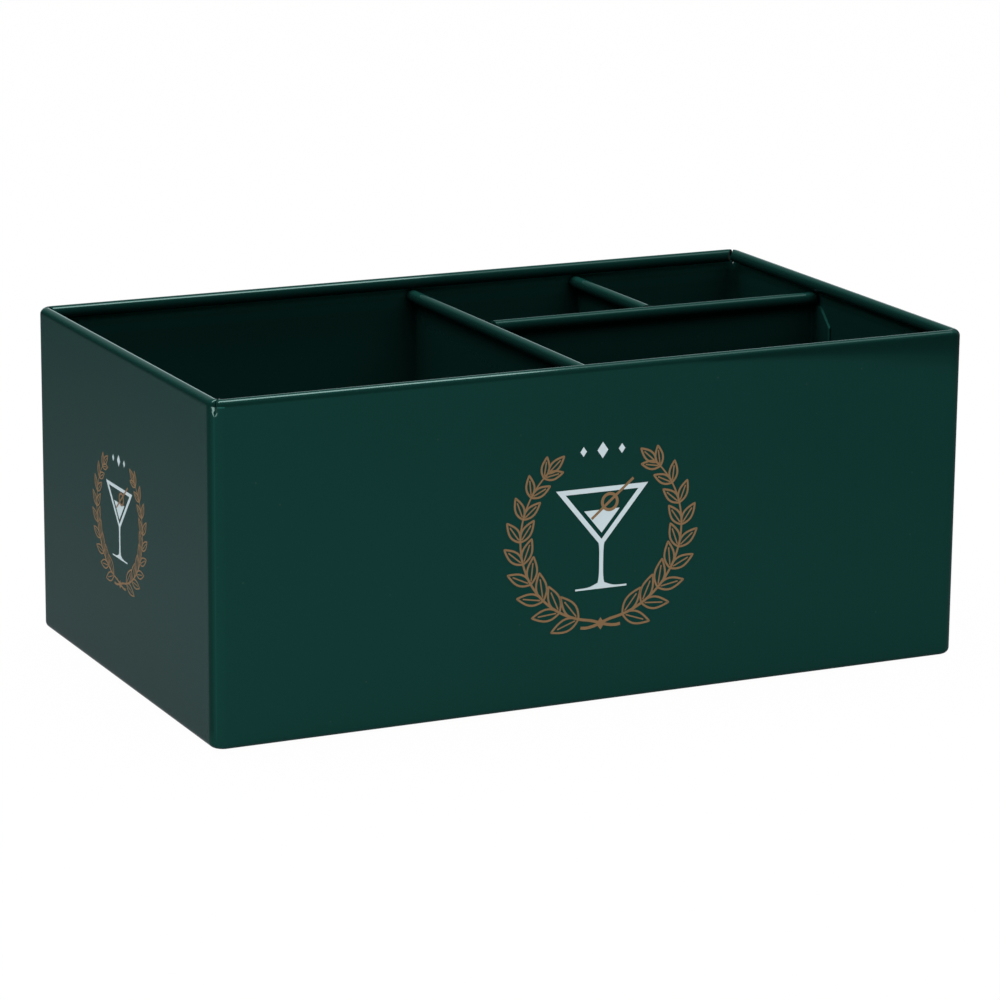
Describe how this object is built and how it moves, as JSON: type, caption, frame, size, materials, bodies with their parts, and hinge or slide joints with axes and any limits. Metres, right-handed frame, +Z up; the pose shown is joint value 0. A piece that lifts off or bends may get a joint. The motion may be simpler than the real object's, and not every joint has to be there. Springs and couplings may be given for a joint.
{
  "type": "bar caddy",
  "caption": "Open-topped sheet-steel bar caddy with rolled rims and welded dividers that part it into compartments for napkins, straws and coasters.",
  "frame": {"origin": "on the table, under the middle of the caddy", "axes": "+X along the front from left to right, +Y to the back, +Z up"},
  "size_m": [0.25, 0.1476, 0.1055],
  "materials": {
    "paint": "gloss dark green powder coat",
    "rubber": "matte black"
  },
  "bodies": {
    "root": {"front_wrap": "paint", "back_wrap": "paint", "floor_panel": "paint", "main_divider": "paint", "long_divider": "paint", "short_divider": "paint", "foot_front_left": "rubber", "foot_front_right": "rubber", "foot_back_right": "rubber", "foot_back_left": "rubber"}
  },
  "joints": []
}
